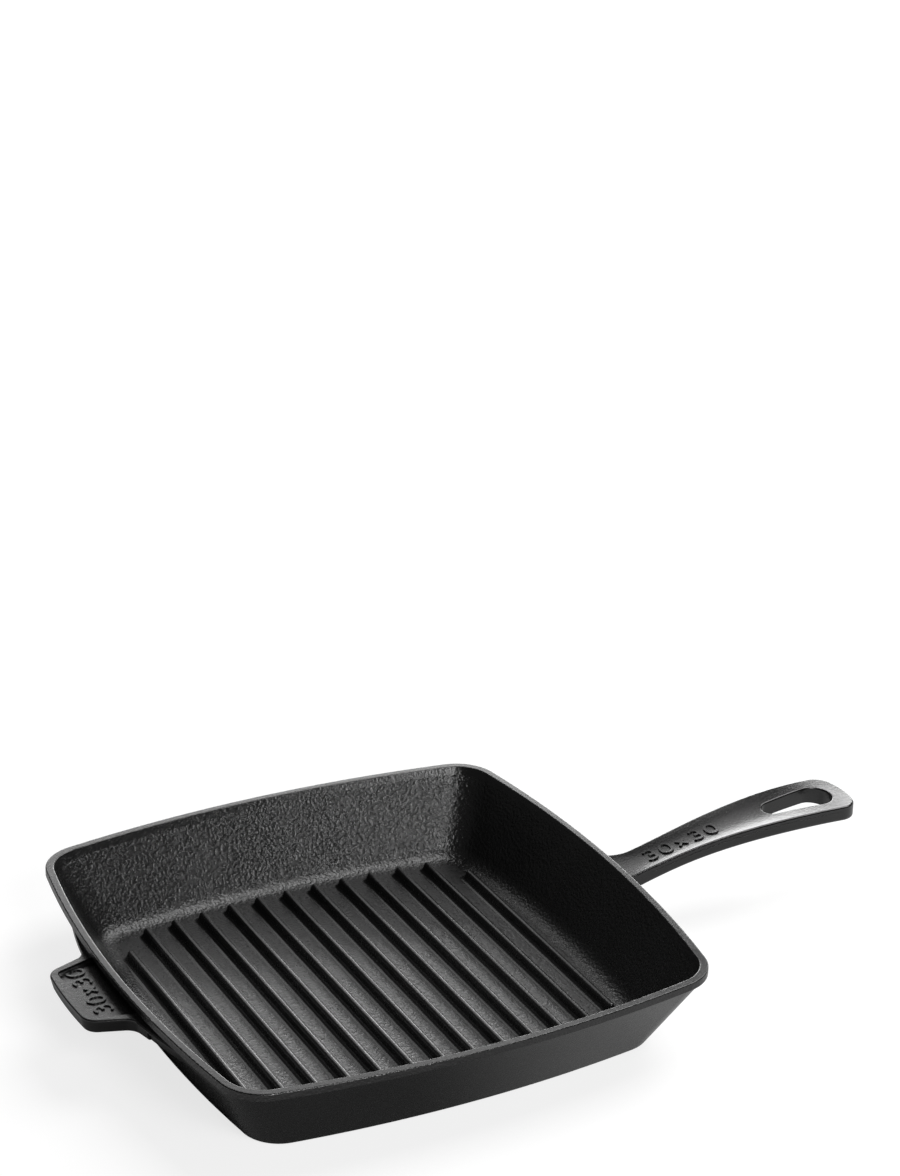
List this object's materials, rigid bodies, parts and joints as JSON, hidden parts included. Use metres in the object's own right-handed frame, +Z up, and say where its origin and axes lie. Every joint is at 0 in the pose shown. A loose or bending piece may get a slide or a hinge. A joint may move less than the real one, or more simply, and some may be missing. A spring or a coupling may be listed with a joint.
{
  "type": "grill pan",
  "caption": "Square black enamelled cast iron grill pan with a ribbed floor, flanged rim, long handle with a hanging slot and a short helper handle.",
  "frame": {"origin": "middle of the flat underside that stands on the hob", "axes": "+X towards the tip of the long handle, +Y along the ribs, +Z up out of the pan"},
  "size_m": [0.4847, 0.3, 0.0562],
  "materials": {
    "black_enamel": "matte"
  },
  "bodies": {
    "root": {"pan_floor": "black_enamel", "side_wall": "black_enamel", "rim": "black_enamel", "rib_01": "black_enamel", "rib_02": "black_enamel", "rib_03": "black_enamel", "rib_04": "black_enamel", "rib_05": "black_enamel", "rib_06": "black_enamel", "rib_07": "black_enamel", "rib_08": "black_enamel", "rib_09": "black_enamel", "rib_10": "black_enamel", "rib_11": "black_enamel", "rib_12": "black_enamel", "rib_13": "black_enamel", "handle_boss": "black_enamel", "long_handle": "black_enamel", "helper_boss": "black_enamel", "helper_handle": "black_enamel"}
  },
  "joints": []
}
